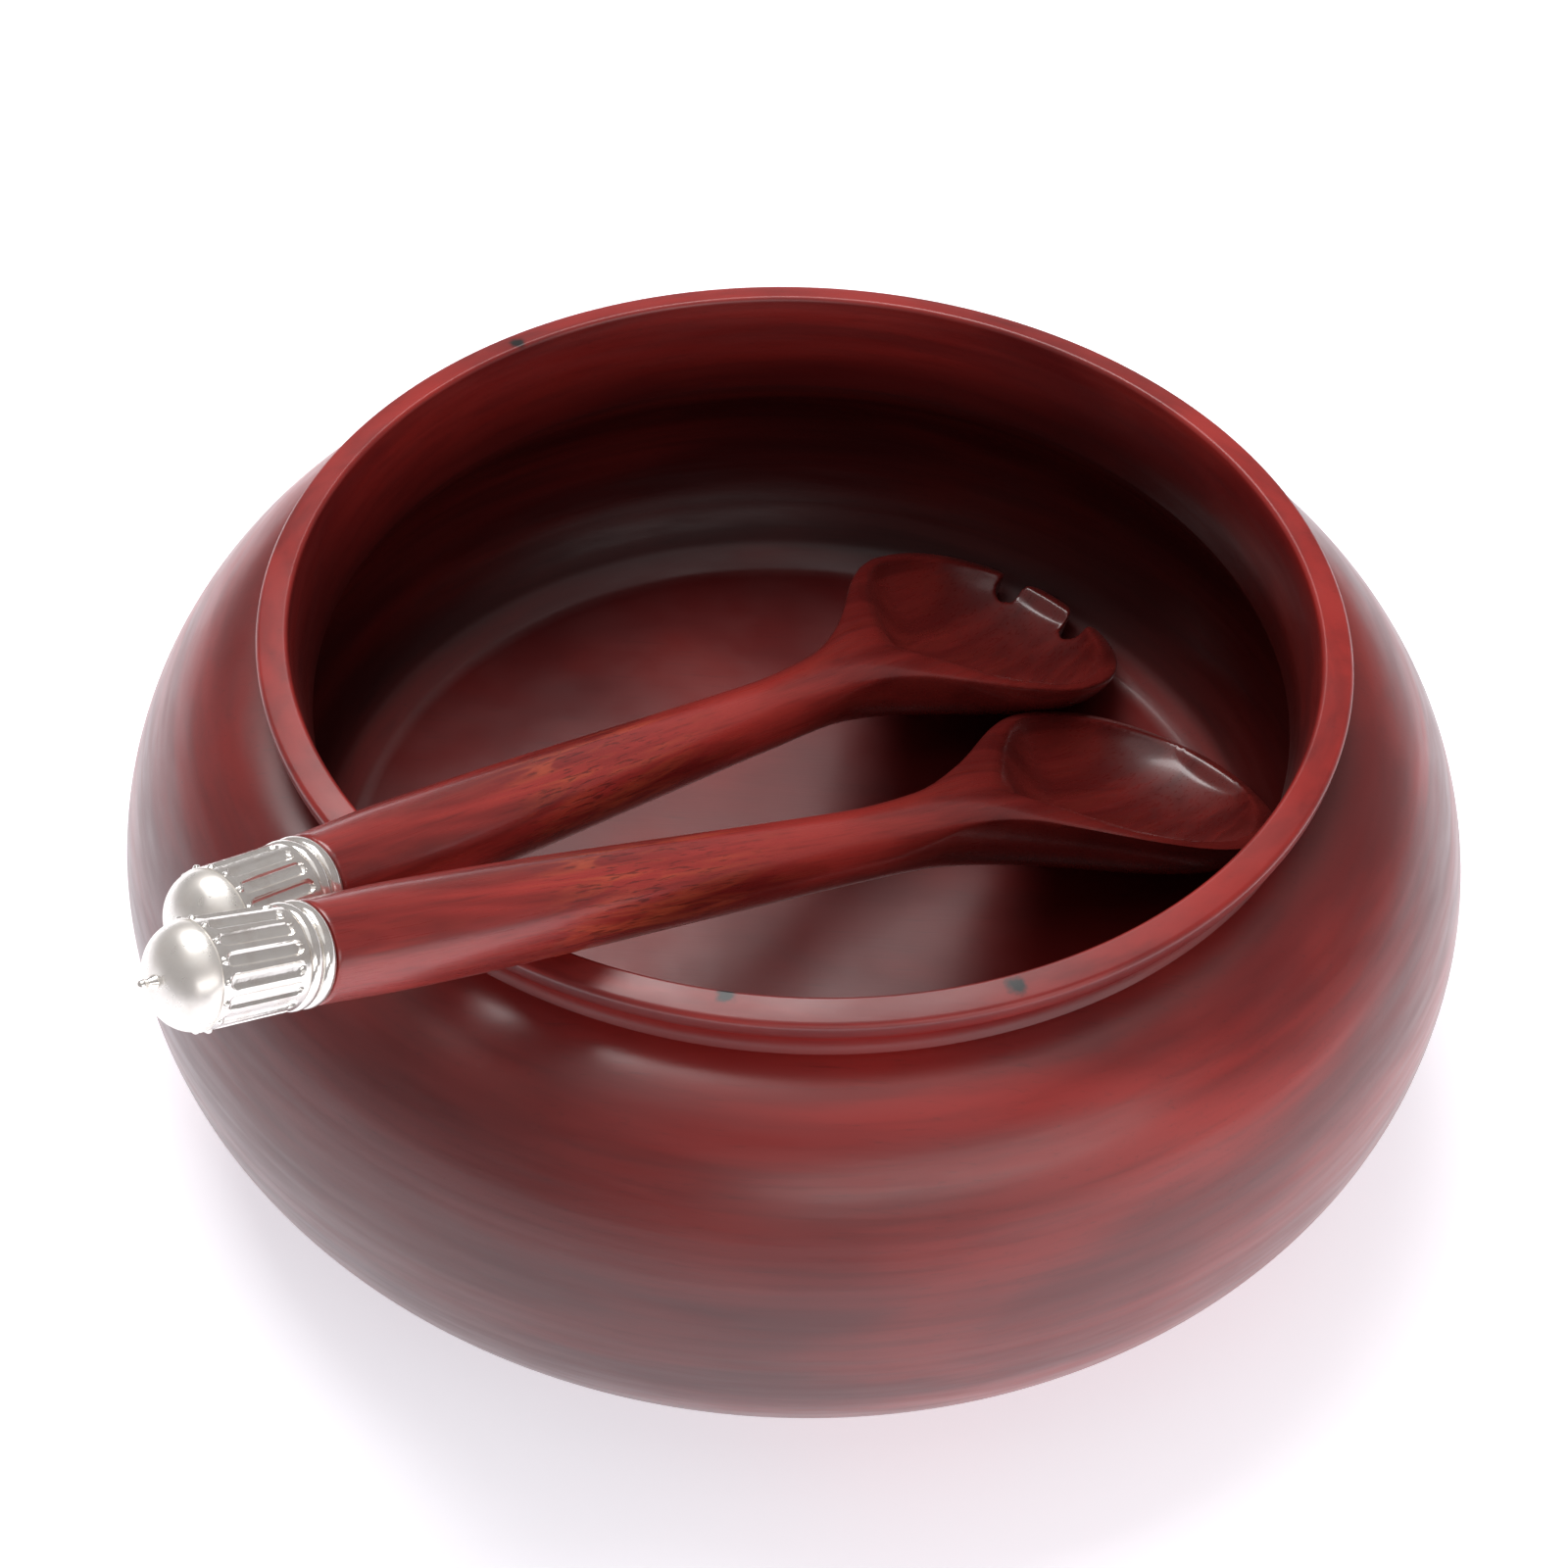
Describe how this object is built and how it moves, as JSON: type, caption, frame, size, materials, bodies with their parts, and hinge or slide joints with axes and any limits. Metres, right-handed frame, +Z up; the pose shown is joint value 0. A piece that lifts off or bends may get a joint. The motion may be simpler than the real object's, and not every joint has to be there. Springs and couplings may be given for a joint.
{
  "type": "serving bowl with servers",
  "caption": "Round-bellied turned wooden serving bowl with an in-turned shoulder and collar rim, holding a wooden spoon and fork server with fluted silver caps.",
  "frame": {"origin": "centre of the bowl's flat foot", "axes": "+Z up along the bowl's axis; the server caps overhang the rim towards -X -Y"},
  "size_m": [0.3, 0.3095, 0.1729],
  "materials": {
    "bowl_wood": "dark red stained hardwood under satin gloss lacquer",
    "server_wood": "red rosewood with orange figure, oiled and polished",
    "polished_silver": "bright polished silver",
    "satin_silver": "satin silver",
    "cement": "hard cutler's cement"
  },
  "bodies": {
    "bowl": {"bowl": "bowl_wood"},
    "spoon": {"spoon_wood": "server_wood", "spoon_cap_cement": "cement", "spoon_cap_sleeve": "polished_silver", "spoon_cap_rings": "polished_silver", "spoon_cap_dome": "satin_silver", "spoon_cap_nib": "polished_silver"},
    "fork": {"fork_wood": "server_wood", "fork_cap_cement": "cement", "fork_cap_sleeve": "polished_silver", "fork_cap_rings": "polished_silver", "fork_cap_dome": "satin_silver", "fork_cap_nib": "polished_silver"}
  },
  "joints": [
    {"name": "spoon_lift", "type": "slide", "parent": "bowl", "child": "spoon", "axis": [-0.24, -0.62, 0.747], "range_m": [0, 0.15]},
    {"name": "fork_lift", "type": "slide", "parent": "bowl", "child": "fork", "axis": [-0.2588, 0, 0.9659], "range_m": [0, 0.15]}
  ]
}
